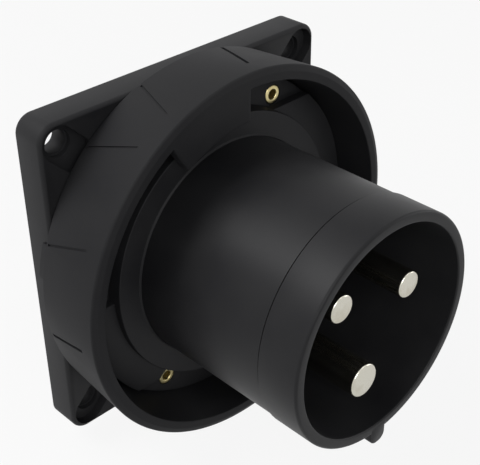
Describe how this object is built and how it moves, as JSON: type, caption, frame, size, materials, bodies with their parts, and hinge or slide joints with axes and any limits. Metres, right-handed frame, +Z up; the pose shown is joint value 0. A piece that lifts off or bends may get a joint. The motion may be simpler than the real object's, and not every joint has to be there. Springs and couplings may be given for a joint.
{
  "type": "cee panel inlet",
  "caption": "Round industrial appliance inlet on a square panel flange, with a pin shroud, a turning bayonet ring and screw terminals behind.",
  "frame": {"origin": "centre of the flange's back face, on the axis of the shroud", "axes": "-Y out of the panel towards the front, +Z up, +X to the right seen from the front"},
  "size_m": [0.1126, 0.1146, 0.1126],
  "materials": {
    "black_plastic": "satin",
    "ring_plastic": "satin",
    "seal_rubber": "matte",
    "brass": "satin",
    "plated_brass": "satin",
    "plated_steel": "satin"
  },
  "bodies": {
    "housing": {"flange_housing": "black_plastic", "flange_gasket": "seal_rubber", "ring_retainer": "black_plastic", "rivet_upper": "brass", "rivet_lower": "brass", "pin_shroud": "black_plastic", "shroud_seal": "seal_rubber", "contact_carrier": "black_plastic", "pin_earth": "plated_brass", "pin_line": "plated_brass", "pin_neutral": "plated_brass", "carrier_screw_1": "plated_steel", "carrier_screw_2": "plated_steel", "carrier_screw_3": "plated_steel", "carrier_screw_4": "plated_steel", "clamp_screw_earth_1": "plated_steel", "clamp_screw_earth_2": "plated_steel", "clamp_screw_line_1": "plated_steel", "clamp_screw_line_2": "plated_steel", "clamp_screw_neutral_1": "plated_steel", "clamp_screw_neutral_2": "plated_steel"},
    "ring": {"bayonet_ring": "ring_plastic"}
  },
  "joints": [
    {"name": "ring_turn", "type": "hinge", "parent": "housing", "child": "ring", "pos_m": [0, -0.02, 0], "axis": [0, -1, 0], "range_deg": [0, 25]}
  ]
}
